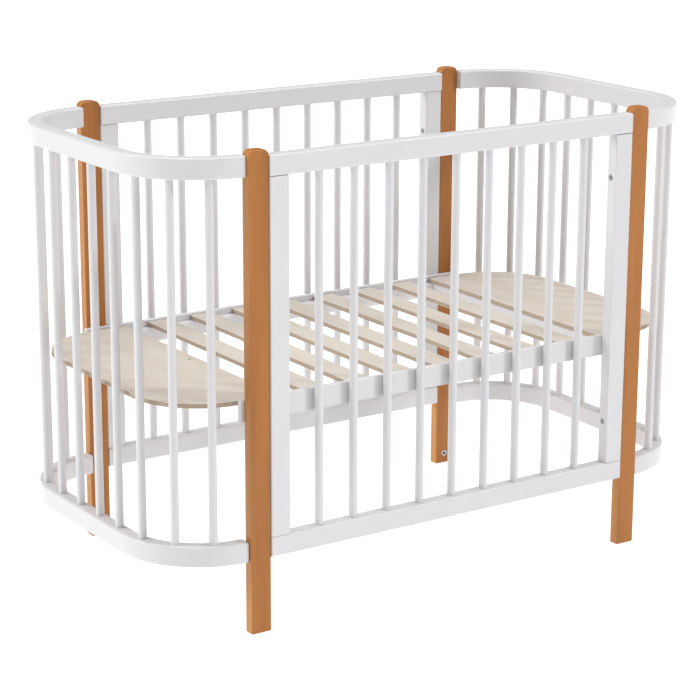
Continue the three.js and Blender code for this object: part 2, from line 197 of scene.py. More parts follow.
def box_rings(half_side, half_up, corner, steps=CORNER_STEPS):
    """Rounded rectangles: each corner is a quarter circle of radius corner about (half_side - corner,
    half_up - corner); one row of the result per ring."""
    turn = box_turns(steps)
    sign_x = np.repeat([1, -1, -1, 1], steps + 1)
    sign_y = np.repeat([1, 1, -1, -1], steps + 1)
    half_side, half_up, corner = (np.atleast_1d(v)[:, None] for v in (half_side, half_up, corner))
    return (sign_x * (half_side - corner) + corner * np.cos(turn),
            sign_y * (half_up - corner) + corner * np.sin(turn))


def eased_lie(s, draw, ease, turns):
    """True normals of a bar with eased ends: the ring's own normal times 1 - draw / ease, and what that
    leaves of a unit length along the bar, backwards at its start and forwards at its end."""
    level = (1 - draw / ease)[:, None]
    tip = np.sqrt(1 - level ** 2) * np.where(s < s.mean(), -1, 1)[:, None]
    return level * np.cos(turns), level * np.sin(turns), tip * np.ones(len(turns))


def round_rings(radius, sides):
    """Circles: (radius cos a, radius sin a), one row per ring."""
    turn = circle_turns(sides)
    radius = np.atleast_1d(radius)[:, None]
    return radius * np.cos(turn), radius * np.sin(turn)


def skin(name, path, s, across, up, shift=0.0, lie=None):
    """Mesh of centre(s) + across * side + up * (along x side), a grid of rings joined by quads and closed by
    a face at each end. The map Grain runs with s one way and round the ring the other, in metres, and shift
    moves it, so that no two pieces show the same grain. lie is the surface's true normal at each point, as
    parts along side, along (along x side) and along the path."""
    centre, along, side = path(np.asarray(s, float))
    rise = np.cross(along, side)
    points = centre[:, None] + across[..., None] * side[:, None] + up[..., None] * rise[:, None]
    n, m = across.shape
    i, j = np.meshgrid(np.arange(n - 1), np.arange(m), indexing="ij")
    k = (j + 1) % m
    quads = np.stack([i * m + j, i * m + k, (i + 1) * m + k, (i + 1) * m + j], -1).reshape(-1, 4)
    ring = np.arange(m)
    faces = quads.tolist() + [ring[::-1].tolist(), ((n - 1) * m + ring).tolist()]
    mesh = bpy.data.meshes.new(name)
    mesh.from_pydata(points.reshape(-1, 3), [], faces)
    widest = n // 2
    steps = np.hypot(np.diff(across[widest], append=across[widest, 0]),
                     np.diff(up[widest], append=up[widest, 0]))
    girth = np.concatenate([[0], np.cumsum(steps)]) + shift
    run = np.asarray(s, float) + 3 * shift
    flat = np.stack([run[i], girth[j], run[i], girth[j + 1],
                     run[i + 1], girth[j + 1], run[i + 1], girth[j]], -1).reshape(-1, 2)
    ends = [np.stack([across[e] + shift, up[e] + shift], 1) for e in (0, -1)]
    flat = np.concatenate([flat, ends[0][::-1], ends[1]])
    mesh.uv_layers.new(name="Grain").data.foreach_set("uv", flat.ravel().astype(np.float32))
    if lie is not None:
        to_side, to_rise, to_along = (part[..., None] for part in lie)
        normals = to_side * side[:, None] + to_rise * rise[:, None] + to_along * along[:, None]
        mesh.attributes.new("lie", "FLOAT_VECTOR", "POINT").data.foreach_set(
            "vector", normals.ravel().astype(np.float32))
    return mesh


def true_normals(mesh):
    """Shade each corner by the surface's true normal, or flat where a bore left a wall that faces elsewhere.
    The normals come back from the drills as averages, so each is made a unit long again."""
    known = mesh.attributes.get("lie")
    if known is None:
        return
    lie = np.zeros(3 * len(mesh.vertices), np.float32)
    known.data.foreach_get("vector", lie)
    lie = lie.reshape(-1, 3)
    size = np.linalg.norm(lie, axis=1, keepdims=True)
    lie = np.where(size > 0.5, lie / np.maximum(size, 0.5), 0)
    flat = np.zeros(3 * len(mesh.polygons), np.float32)
    mesh.polygons.foreach_get("normal", flat)
    counts = np.zeros(len(mesh.polygons), np.int32)
    mesh.polygons.foreach_get("loop_total", counts)
    corner = np.zeros(len(mesh.loops), np.int32)
    mesh.loops.foreach_get("vertex_index", corner)
    flat = np.repeat(flat.reshape(-1, 3), counts, axis=0)
    agree = (lie[corner] * flat).sum(1, keepdims=True) > SAME_WAY
    mesh.attributes.remove(known)
    mesh.normals_split_custom_set(np.where(agree, lie[corner], flat).tolist())


def drilled(mesh, drills):
    """The mesh less each drill, as a maker bores it."""
    piece = bpy.data.objects.new("blank", mesh)
    bpy.context.collection.objects.link(piece)
    tools = []
    for drill in drills:
        tool = bpy.data.objects.new("drill", drill)
        bpy.context.collection.objects.link(tool)
        tools.append(tool)
        cut = piece.modifiers.new("Bore", "BOOLEAN")
        cut.operation = "DIFFERENCE"
        cut.solver = "EXACT"
        cut.object = tool
    bpy.context.view_layer.update()
    seen = piece.evaluated_get(bpy.context.evaluated_depsgraph_get())
    bored = bpy.data.meshes.new_from_object(seen)
    for obj in (piece, *tools):
        bpy.data.objects.remove(obj)
    return bored


def fit(name, mesh, finish, nodes=()):
    """Put a finished mesh into the scene as one piece of the crib, on the crib's only body."""
    name = f"{name}_finished"
    mesh.name = name
    mesh.materials.clear()
    mesh.materials.append(finish)
    mesh.shade_smooth()
    mesh.set_sharp_from_angle(angle=SHARP_ANGLE)
    true_normals(mesh)
    piece = bpy.data.objects.new(name, mesh)
    bpy.context.collection.objects.link(piece)
    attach(piece, "root")
    if nodes:
        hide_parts(*nodes)
    return piece


def bar(name, path, length, half_side, half_up, corner, ease, between, shift, steps=CORNER_STEPS):
    """A bar of rounded-rectangle section along a path, with eased ends and rings at the distances between."""
    s, draw = eased_stations(length, ease, EASE_STEPS, between)
    corners = np.maximum(corner - draw, 0.3 * MM)
    across, up = box_rings(half_side - draw, half_up - draw, corners, steps)
    return skin(name, path, s, across, up, shift, eased_lie(s, draw, ease, box_turns(steps)))


def turned(name, path, s, radius, sides):
    """A round piece: circles of the given radii at distances s along a path."""
    across, up = round_rings(radius, sides)
    return skin(name, path, s, across, up)


def dowel(name, foot, length, radius, shift):
    """Straight dowel: circles of one radius, with its ends eased where they sit in the rails."""
    s, draw = eased_stations(length, DOWEL_EASE, 2, (length / 3, 2 * length / 3))
    across, up = round_rings(radius - draw, DOWEL_SIDES)
    lie = eased_lie(s, draw, DOWEL_EASE, circle_turns(DOWEL_SIDES))
    return skin(name, straight(foot, (0, 0, 1), (1, 0, 0)), s, across, up, shift, lie)


# Finishes

def feed(tree, socket, value):
    """Link a node's output to a socket, or set the socket to a plain value."""
    if isinstance(value, bpy.types.NodeSocket):
        tree.links.new(value, socket)
    else:
        socket.default_value = value


def add_node(tree, kind, place, **sockets):
    """Add a shader node and set or link its inputs by name."""
    made = tree.nodes.new(kind)
    made.location = place
    for key, value in sockets.items():
        feed(tree, made.inputs[key], value)
    return made


def grain_map(tree, place):
    """The map Grain, which every long piece carries."""
    made = add_node(tree, "ShaderNodeUVMap", place)
    made.uv_map = "Grain"
    return made.outputs[0]


def object_place(tree, place):
    """Place on the crib in metres."""
    return add_node(tree, "ShaderNodeTexCoord", place).outputs["Object"]


def facing_axis(tree, axis, place):
    """How squarely the surface faces along an axis, from 0 to 1."""
    x, y = place
    normal = add_node(tree, "ShaderNodeNewGeometry", place).outputs["Normal"]
    parts = add_node(tree, "ShaderNodeSeparateXYZ", (x + 150, y), Vector=normal)
    return sums(tree, "ABSOLUTE", parts.outputs[axis], 0.0, (x + 300, y))


def new_finish(name):
    """A material with one Principled shader and nothing else."""
    made = bpy.data.materials.new(name)
    made.use_nodes = True
    tree = made.node_tree
    tree.nodes.clear()
    shader = add_node(tree, "ShaderNodeBsdfPrincipled", (600, 0))
    out = add_node(tree, "ShaderNodeOutputMaterial", (900, 0))
    tree.links.new(shader.outputs[0], out.inputs[0])
    return made, tree, shader


def ramp(tree, source, stops, place):
    """Colour ramp from (position, colour) stops."""
    made = tree.nodes.new("ShaderNodeValToRGB")
    made.location = place
    band = made.color_ramp
    while len(band.elements) < len(stops):
        band.elements.new(0.5)
    for element, (position, colour) in zip(band.elements, stops):
        element.position = position
        element.color = (*colour, 1)
    tree.links.new(source, made.inputs[0])
    return made.outputs[0]


def streaks(tree, source, stretch, detail, place, rough=0.5):
    """Noise with stretch repeats to the metre along each axis of its source, few along the grain and many
    across it."""
    mapping = add_node(tree, "ShaderNodeMapping", place, Scale=stretch, Vector=source)
    noise = add_node(tree, "ShaderNodeTexNoise", (place[0] + 200, place[1]),
                     Vector=mapping.outputs[0], Scale=1.0, Detail=detail, Roughness=rough)
    return noise.outputs[0]


def blend(tree, mode, share, one, two, place):
    """Mix two colours."""
    made = tree.nodes.new("ShaderNodeMix")
    made.data_type = "RGBA"
    made.blend_type = mode
    made.location = place
    for socket, value in ((made.inputs[0], share), (made.inputs[6], one), (made.inputs[7], two)):
        feed(tree, socket, (*value, 1) if isinstance(value, tuple) else value)
    return made.outputs[2]


def sums(tree, operation, one, two, place):
    """One arithmetic step on two values."""
    made = tree.nodes.new("ShaderNodeMath")
    made.operation = operation
    made.location = place
    for socket, value in zip(made.inputs, (one, two)):
        feed(tree, socket, value)
    return made.outputs[0]


def level_plus(tree, source, share, level, place):
    """source * share + level, where level is a number or another pattern."""
    made = sums(tree, "MULTIPLY_ADD", source, share, place)
    feed(tree, made.node.inputs[2], level)
    return made


def relief(tree, shader, height, strength, depth):
    """Bump the surface by a height pattern."""
    made = add_node(tree, "ShaderNodeBump", (350, -300), Strength=strength, Distance=depth, Height=height)
    tree.links.new(made.outputs[0], shader.inputs["Normal"])


def beech_finish(colour):
    """Lacquered beech: soft figure, fine long streaks and short dark ray flecks along the map Grain. Faces
    towards the crib's ends are painted paler and pinker, a painted highlight for the light that falls on the
    legs' sides and rounded tops."""
    made, tree, shader = new_finish("lacquered beech")
    grain = grain_map(tree, (-1200, 0))
    figure = streaks(tree, grain, (2.6, 26, 1), 3, (-1000, 250))
    lines = streaks(tree, grain, (9, 420, 1), 4, (-1000, 0), 0.6)
    flecks = streaks(tree, grain, (170, 1500, 1), 2, (-1000, -250))
    base = np.array(colour)
    tone = ramp(tree, figure,
                ((0.28, base * (0.82, 0.78, 0.72)), (0.5, base), (0.74, base * (1.12, 1.15, 1.20))),
                (-500, 250))
    fine = ramp(tree, lines, ((0.3, (0.88, 0.85, 0.80)), (0.62, (1.0, 1.0, 1.0))), (-500, 0))
    dots = ramp(tree, flecks, ((0.33, (0.72, 0.62, 0.52)), (0.40, (1.0, 1.0, 1.0))), (-500, -250))
    wood = blend(tree, "MULTIPLY", 1.0, tone, fine, (-150, 150))
    wood = blend(tree, "MULTIPLY", 0.8, wood, dots, (50, 150))
    # Painted highlight: the more a face turns towards the crib's ends, the more it is mixed towards a paler,
    # pinker copy of the wood, standing in for the light that falls on the legs' sides and rounded tops
    side_light_share = facing_axis(tree, "X", (-400, 500))
    side_highlight_colour = blend(tree, "MULTIPLY", 1.0, wood, (1.2, 1.42, 2.3), (50, 350))
    wood = blend(tree, "MIX", side_light_share, wood, side_highlight_colour, (250, 250))
    tree.links.new(wood, shader.inputs["Base Color"])
    tree.links.new(level_plus(tree, lines, 0.16, 0.33, (50, -100)), shader.inputs["Roughness"])
    shader.inputs["Specular IOR Level"].default_value = 0.42
    shader.inputs["Coat Weight"].default_value = 0.12
    shader.inputs["Coat Roughness"].default_value = 0.3
    height = sums(tree, "ADD", lines, flecks, (100, -300))
    relief(tree, shader, height, 0.10, 0.0004)
    return made


def lacquer_finish(colour):
    """White lacquer over wood: a trace of the grain along the map Grain, a faint pebble and a slight drift of
    tone."""
    made, tree, shader = new_finish("white lacquer")
    grain = grain_map(tree, (-1200, 0))
    where = object_place(tree, (-1200, -400))
    drift = streaks(tree, where, (7, 7, 7), 2, (-1000, 250))
    lines = streaks(tree, grain, (12, 330, 1), 3, (-1000, 0))
    pebble = streaks(tree, where, (380, 380, 380), 2, (-1000, -350))
    base = np.array(colour)
    tone = ramp(tree, drift, ((0.3, base * (0.975, 0.975, 0.98)), (0.7, base)), (-400, 250))
    fine = ramp(tree, lines, ((0.25, (0.98, 0.98, 0.975)), (0.6, (1.0, 1.0, 1.0))), (-400, 0))
    paint = blend(tree, "MULTIPLY", 1.0, tone, fine, (0, 150))
    tree.links.new(paint, shader.inputs["Base Color"])
    tree.links.new(level_plus(tree, pebble, 0.14, 0.26, (50, -100)), shader.inputs["Roughness"])
    height = level_plus(tree, lines, 0.3, pebble, (100, -300))
    relief(tree, shader, height, 0.04, 0.0003)
    return made


def ply_finish(colour, bottom, top):
    """Birch plywood: pale face grain along y, and on the edges level plies that turn light and dark with the
    height between bottom and top."""
    made, tree, shader = new_finish("birch plywood")
    where = object_place(tree, (-1400, 0))
    figure = streaks(tree, where, (24, 2.2, 24), 3, (-1000, 300))
    lines = streaks(tree, where, (420, 10, 420), 4, (-1000, 50), 0.6)
    pores = streaks(tree, where, (1300, 120, 1300), 2, (-1000, -200))
    base = np.array(colour)
    tone = ramp(tree, figure,
                ((0.28, base * (0.93, 0.90, 0.86)), (0.5, base), (0.75, base * (1.04, 1.05, 1.06))),
                (-500, 300))
    fine = ramp(tree, lines, ((0.3, (0.92, 0.90, 0.86)), (0.6, (1.0, 1.0, 1.0))), (-500, 50))
    dots = ramp(tree, pores, ((0.30, (0.84, 0.76, 0.66)), (0.38, (1.0, 1.0, 1.0))), (-500, -200))
    face = blend(tree, "MULTIPLY", 1.0, tone, fine, (-150, 200))
    face = blend(tree, "MULTIPLY", 0.6, face, dots, (0, 200))
    height = add_node(tree, "ShaderNodeSeparateXYZ", (-1200, -500), Vector=where).outputs["Z"]
    level = sums(tree, "SUBTRACT", height, bottom, (-1000, -500))
    level = sums(tree, "DIVIDE", level, (top - bottom) / PLIES, (-850, -500))
    wobble = sums(tree, "MULTIPLY", figure, 0.25, (-850, -650))
    level = sums(tree, "ADD", level, wobble, (-700, -500))
    level = sums(tree, "PINGPONG", level, 1.0, (-550, -500))
    ply = ramp(tree, level, ((0.30, base * (0.52, 0.38, 0.25)), (0.55, base * (0.90, 0.82, 0.73))),
               (-400, -500))
    edge = blend(tree, "MULTIPLY", 0.8, ply, fine, (0, -400))
    on_edge = sums(tree, "LESS_THAN", facing_axis(tree, "Z", (-400, -750)), PLY_EDGE_FACING,
                   (50, -750))
    wood = blend(tree, "MIX", on_edge, face, edge, (300, 100))
    tree.links.new(wood, shader.inputs["Base Color"])
    tree.links.new(level_plus(tree, lines, 0.15, 0.5, (50, -100)), shader.inputs["Roughness"])
    relief(tree, shader, lines, 0.12, 0.0003)
    return made


def steel_finish(colour):
    """Zinc-plated steel: fine machining marks and small dull spots."""
    made, tree, shader = new_finish("zinc-plated steel")
    where = object_place(tree, (-1200, 0))
    marks = streaks(tree, where, (900, 900, 2600), 3, (-1000, 150))
    spots = streaks(tree, where, (260, 260, 260), 2, (-1000, -150))
    base = np.array(colour)
    tone = ramp(tree, spots, ((0.3, base * 0.78), (0.65, base)), (-400, 150))
    tree.links.new(tone, shader.inputs["Base Color"])
    tree.links.new(level_plus(tree, marks, 0.25, 0.2, (50, -100)), shader.inputs["Roughness"])
    shader.inputs["Metallic"].default_value = 1.0
    relief(tree, shader, marks, 0.15, 0.0001)
    return made


def floor_finish():
    """Plain pale studio floor, lit a little from within so that it stays an even white."""
    made, tree, shader = new_finish("studio floor")
    where = object_place(tree, (-900, 0))
    speck = streaks(tree, where, (3, 3, 3), 2, (-700, 0))
    tone = ramp(tree, speck, ((0.3, (0.44, 0.44, 0.44)), (0.7, (0.46, 0.46, 0.46))), (-200, 0))
    tree.links.new(tone, shader.inputs["Base Color"])
    shader.inputs["Roughness"].default_value = 0.9
    shader.inputs["Emission Color"].default_value = (1, 1, 1, 1)
    shader.inputs["Emission Strength"].default_value = 0.80
    return made


FINISHES = {}


def finish_of(slot):
    """The finish for a slot, made once from the colours in the panel."""
    looks = bpy.context.scene.crib_colours
    if slot not in FINISHES:
        if slot == "beech":
            FINISHES[slot] = beech_finish(looks.beech)
        elif slot == "white_lacquer":
            FINISHES[slot] = lacquer_finish(looks.lacquer)
        elif slot == "birch_ply":
            FINISHES[slot] = ply_finish(looks.birch, low("slat_1")[2], high("slat_1")[2])
        else:
            FINISHES[slot] = steel_finish(looks.steel)
    return FINISHES[slot]


class CribSizes(bpy.types.PropertyGroup):
    """Sizes of the finer shapes that the frame leaves open"""
    leg_edge: bpy.props.FloatProperty(
        name="Leg edge", description="Radius of the legs' long edges",
        default=2.2 * MM, min=0.3 * MM, unit="LENGTH")
    leg_top: bpy.props.FloatProperty(
        name="Leg top", description="Radius of the two rounded corners at the top of each leg",
        default=12 * MM, min=1 * MM, unit="LENGTH")
    rail_edge: bpy.props.FloatProperty(
        name="Rail edge", description="Radius of the rails' long edges",
        default=4 * MM, min=0.5 * MM, unit="LENGTH")
    stile_edge: bpy.props.FloatProperty(
        name="Stile edge", description="Radius of the stiles' long edges",
        default=2 * MM, min=0.3 * MM, unit="LENGTH")
    slat_edge: bpy.props.FloatProperty(
        name="Slat edge", description="Radius of the edges of slats and boards",
        default=1.2 * MM, min=0.2 * MM, unit="LENGTH")
    bolt_head: bpy.props.FloatProperty(
        name="Bolt head", description="Diameter of the socket bolts' heads",
        default=12 * MM, min=5 * MM, unit="LENGTH")
    hex_flats: bpy.props.FloatProperty(
        name="Hexagon", description="Width across the flats of the bolts' sockets",
        default=5 * MM, min=2 * MM, unit="LENGTH")


class CribColours(bpy.types.PropertyGroup):
    """Colours of the crib's finishes"""
    beech: bpy.props.FloatVectorProperty(
        name="Beech", description="Colour of the lacquered legs",
        subtype="COLOR", default=(0.43, 0.152, 0.020), min=0, max=1)
    lacquer: bpy.props.FloatVectorProperty(
        name="White lacquer", description="Colour of rails, stiles and spindles",
        subtype="COLOR", default=(0.70, 0.692, 0.703), min=0, max=1)
    birch: bpy.props.FloatVectorProperty(
        name="Birch", description="Colour of the slats and end boards",
        subtype="COLOR", default=(0.605, 0.555, 0.495), min=0, max=1)
    steel: bpy.props.FloatVectorProperty(
        name="Steel", description="Colour of bolts, inserts and screws",
        subtype="COLOR", default=(0.5, 0.5, 0.51), min=0, max=1)


# Bores and hardware

BOLT_SIDES = 36
SCREW_SIDES = 24
SHANK = 3 * MM
BORE = 3.35 * MM
COUNTERBORE = 6.35 * MM
COUNTERBORE_DEPTH = 8 * MM
STILE_DRILL_LEAD = 5 * MM
STILE_DRILL_LENGTH = 60 * MM
HEAD_HEIGHT = 7 * MM
HEX_DEPTH = 3.5 * MM
INSERT_HEIGHT = 22 * MM
INSERT_OFFSET = 1.8 * MM
INSERT_RADIUS = 7 * MM
INSERT_HOLE_RADIUS = 3 * MM
INSERT_DEPTH = 11.5 * MM
INSERT_PROUD = 0.3 * MM
INSERT_PLAY = 0.1 * MM
INSERT_BORE_DEPTH = 12 * MM
INSERT_DRILL_LEAD = 2 * MM
SCREW_X = 395 * MM
SCREW_LIFT = 0.05 * MM


def bolt_mesh(name, head_top, inward, shank, head, flats):
    """Socket bolt: circles up the shank and over the head, then a hexagon of radius
    (flats / 2) / cos(a') down into the socket, a' being the angle from the nearest flat's middle."""
    inward = np.array(inward, float)
    length = HEAD_HEIGHT + shank
    start = np.array(head_top) + inward * length
    turn = circle_turns(BOLT_SIDES)
    hexagon = flats / 2 / np.cos((turn + math.pi / 6) % (math.pi / 3) - math.pi / 6)
    r = head / 2
    rows = ((0, SHANK - 0.5 * MM), (0.5 * MM, SHANK), (shank, SHANK), (shank, r - 0.3 * MM),
            (shank + 0.3 * MM, r), (length - 0.9 * MM, r), (length - 0.3 * MM, r - 0.3 * MM),
            (length, r - 0.9 * MM))
    s = np.array([v for v, _ in rows] + [length, length - 0.3 * MM, length - HEX_DEPTH])
    radius = np.array([v for _, v in rows])[:, None] * np.ones(BOLT_SIDES)
    radius = np.concatenate([radius, [hexagon + 0.25 * MM], [hexagon], [hexagon]])
    side = np.cross((0, 0, 1.0), inward)
    return skin(name, straight(start, -inward, side), s, radius * np.cos(turn), radius * np.sin(turn))


def drill_mesh(start, along, rows):
    """Stepped drill: circles of the given radii at the given depths."""
    along = np.array(along, float)
    side = np.cross((0, 0, 1.0), along)
    s = np.array([v for v, _ in rows])
    return turned("drill", straight(start, along, side), s, np.array([v for _, v in rows]), BOLT_SIDES)


def collar_mesh(face, outward):
    """A threaded collar let into a leg's face: circles out over its rim and down its own hole."""
    outward = np.array(outward, float)
    outer, inner, rim = INSERT_RADIUS, INSERT_HOLE_RADIUS, INSERT_DEPTH + INSERT_PROUD
    s = np.array([0, 0, rim - 0.2 * MM, rim, rim, rim - 0.3 * MM, 1.0 * MM])
    radius = np.array([outer * 0.6, outer, outer, outer - 0.2 * MM, inner + 0.3 * MM, inner, inner])
    path = straight(np.array(face) - outward * INSERT_DEPTH, outward, np.cross((0, 0, 1.0), outward))
    return turned("collar", path, s, radius, BOLT_SIDES)


class CRIB_OT_legs(bpy.types.Operator):
    """Build the four flat beech legs"""
    bl_idname = "crib.legs"
    bl_label = "Legs"

    def execute(self, context):
        sizes = context.scene.crib_sizes
        for row, sy in ROWS:
            for hand, sx in SIDES:
                self.leg(f"leg_{row}_{hand}", sx, sy, sizes)
        return {"FINISHED"}

    def leg(self, node, sx, sy, sizes):
        """Rings up the leg. Half the width is w / 2 - R + sqrt(R^2 - h^2), h being how far a ring is above
        the start of the rounded top, and half the depth draws in by the edge's own quarter circle. The foot
        is drawn in a little. Each true normal leans up by h / R, and the lowest ring's points down."""
        wide, deep, tall = span(node)
        mid = middle(node)
        big, edge = sizes.leg_top, sizes.leg_edge
        a = np.linspace(0, QUARTER_TURN, LEG_TOP_STATIONS)
        z = np.concatenate([[0, FOOT_EASE / 2, FOOT_EASE, tall / 2], tall - big + big * np.sin(a)])
        above = np.clip(z - (tall - big), 0, big)
        over = np.clip(z - (tall - edge), 0, edge)
        draw = np.clip(FOOT_EASE - z, 0, FOOT_EASE) * FOOT_SLOPE
        half_side = wide / 2 - big + np.sqrt(np.maximum(big ** 2 - above ** 2, 0)) - draw
        half_up = deep / 2 - edge + np.sqrt(np.maximum(edge ** 2 - over ** 2, 0)) - draw
        across, up = box_rings(half_side, half_up, np.full_like(z, edge), FINE_CORNER_STEPS)
        path = straight((mid[0], mid[1], 0), (0, 0, 1), (1, 0, 0))
        shift = 0.37 * (1 + sx) + 0.83 * (1 + sy)
        round_x, round_y = (above / big)[:, None], (over / edge)[:, None]
        turns = box_turns(FINE_CORNER_STEPS)
        part_x, part_y = np.cos(turns), np.sin(turns)
        lie = np.stack([part_x * np.sqrt(1 - round_x ** 2), part_y * np.sqrt(1 - round_y ** 2),
                        np.abs(part_x) * round_x + np.abs(part_y) * round_y])
        lie[:, 0] = np.array([0, 0, -1.0])[:, None]
        lie /= np.linalg.norm(lie, axis=0)
        mesh = skin(node, path, z, across, up, shift, lie)
        inner = mid[1] - sy * deep / 2
        bore = INSERT_RADIUS + INSERT_PLAY
        start = (mid[0] + sx * INSERT_OFFSET, inner - sy * INSERT_DRILL_LEAD, INSERT_HEIGHT)
        drill = drill_mesh(start, (0, sy, 0), ((0, bore), (INSERT_DRILL_LEAD + INSERT_BORE_DEPTH, bore)))
        fit(node, drilled(mesh, [drill]), finish_of("beech"), (node,))


class CRIB_OT_side_panels(bpy.types.Operator):
    """Build both long sides: rails, stiles and straight spindles"""
    bl_idname = "crib.side_panels"
    bl_label = "Side panels"

    def execute(self, context):
        sizes = context.scene.crib_sizes
        white = finish_of("white_lacquer")
        for row, sy in ROWS:
            for level in ("top", "bottom"):
                self.rail(f"rail_{level}_{row}", white, sizes.rail_edge,
                          0.31 * (2 + sy) + 0.17 * len(level))
            for hand, sx in SIDES:
                self.stile(row, hand, sx, white, sizes.stile_edge, 0.47 * (2 + sx) + 0.13 * (2 + sy))
            count = sum(name.startswith(f"spindle_{row}_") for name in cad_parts)
            for k in range(1, count + 1):
                node = f"spindle_{row}_{k}"
                mid, size = middle(node), span(node)
                foot = (mid[0], mid[1], low(node)[2])
                mesh = dowel(node, foot, size[2], size[0] / 2, 0.071 * k + sy)
                fit(node, mesh, white, (node,))
        return {"FINISHED"}

    def rail(self, node, white, edge, shift):
        """Straight rail along x."""
        mid, size = middle(node), span(node)
        path = straight((low(node)[0], mid[1], mid[2]), (1, 0, 0), (0, 1, 0))
        mesh = bar(node, path, size[0], size[1] / 2, size[2] / 2, edge, RAIL_END_EASE,
                   np.linspace(0, size[0], 12), shift)
        fit(node, mesh, white, (node,))

    def stile(self, row, hand, sx, white, edge, shift):
        """Upright beside a leg, bored right through towards the leg for its two bolts, with a wider bore for
        their heads on the far side."""
        node = f"stile_{row}_{hand}"
        mid, size = middle(node), span(node)
        path = straight((mid[0], mid[1], low(node)[2]), (0, 0, 1), (1, 0, 0))
        mesh = bar(node, path, size[2], size[0] / 2, size[1] / 2, edge, STILE_END_EASE,
                   np.linspace(0, size[2], 10), shift)
        start_x = mid[0] - sx * size[0] / 2 - sx * STILE_DRILL_LEAD
        shoulder = STILE_DRILL_LEAD + COUNTERBORE_DEPTH
        rows = ((0, COUNTERBORE), (shoulder, COUNTERBORE), (shoulder, BORE), (STILE_DRILL_LENGTH, BORE))
        bolts = (middle(f"bolt_{row}_{hand}_{level}") for level in ("lower", "upper"))
        drills = [drill_mesh((start_x, bolt[1], bolt[2]), (sx, 0, 0), rows) for bolt in bolts]
        fit(node, drilled(mesh, drills), white, (node,))


class CRIB_OT_rounded_ends(bpy.types.Operator):
    """Build both rounded ends: curved rails and their spindles"""
    bl_idname = "crib.rounded_ends"
    bl_label = "Rounded ends"

    def execute(self, context):
        white = finish_of("white_lacquer")
        edge = context.scene.crib_sizes.rail_edge
        for hand, sx in SIDES:
            top, foot = f"end_rail_top_{hand}", f"end_frame_{hand}"
            rail_height = span(top)[2]
            near_x, outer_x = sorted((abs(low(top)[0]), abs(high(top)[0])))
            half_width = span(top)[1] / 2 - END_RAIL_DEPTH / 2
            reach = outer_x - END_RAIL_DEPTH / 2
            for node in (top, foot):
                bottom = low(node)[2]
                path, marks = end_line(sx, bottom + rail_height / 2, near_x, reach, half_width,
                                       END_CORNER_RADIUS)
                stations = np.concatenate([np.linspace(marks[1], marks[2], ARC_STATIONS),
                                           np.linspace(marks[2], marks[3], FAR_STATIONS),
                                           np.linspace(marks[3], marks[4], ARC_STATIONS)])
                way = path if sx > 0 else backwards(path, marks[-1])
                mesh = bar(node, way, marks[-1], END_RAIL_DEPTH / 2, rail_height / 2, edge,
                           END_RAIL_END_EASE, np.unique(stations.round(6)), 0.53 * (2 + sx) + bottom,
                           FINE_CORNER_STEPS)
                fit(node, mesh, white, (node,))
            bottom = low(foot)[2] + END_SPINDLE_SEAT
            self.spindles(hand, path, marks[-1], bottom, high(foot)[2], white, foot)
        return {"FINISHED"}

    def spindles(self, hand, path, length, bottom, top, white, node):
        """Ten dowels: three spaced from each leg round its corner, and four evenly between them across the
        far side."""
        near = END_SPINDLES_FROM_LEG
        far = np.linspace(near[-1], length - near[-1], END_SPINDLES_FAR)
        places = np.array([*near[:2], *far, *(length - v for v in near[1::-1])])
        centres = path(places)[0]
        radius = span("spindle_front_1")[0] / 2
        for k, centre in enumerate(centres, 1):
            mesh = dowel("dowel", (centre[0], centre[1], bottom), top - bottom, radius, 0.057 * k)
            fit(f"end_spindle_{hand}_{k}", mesh, white, (node,))


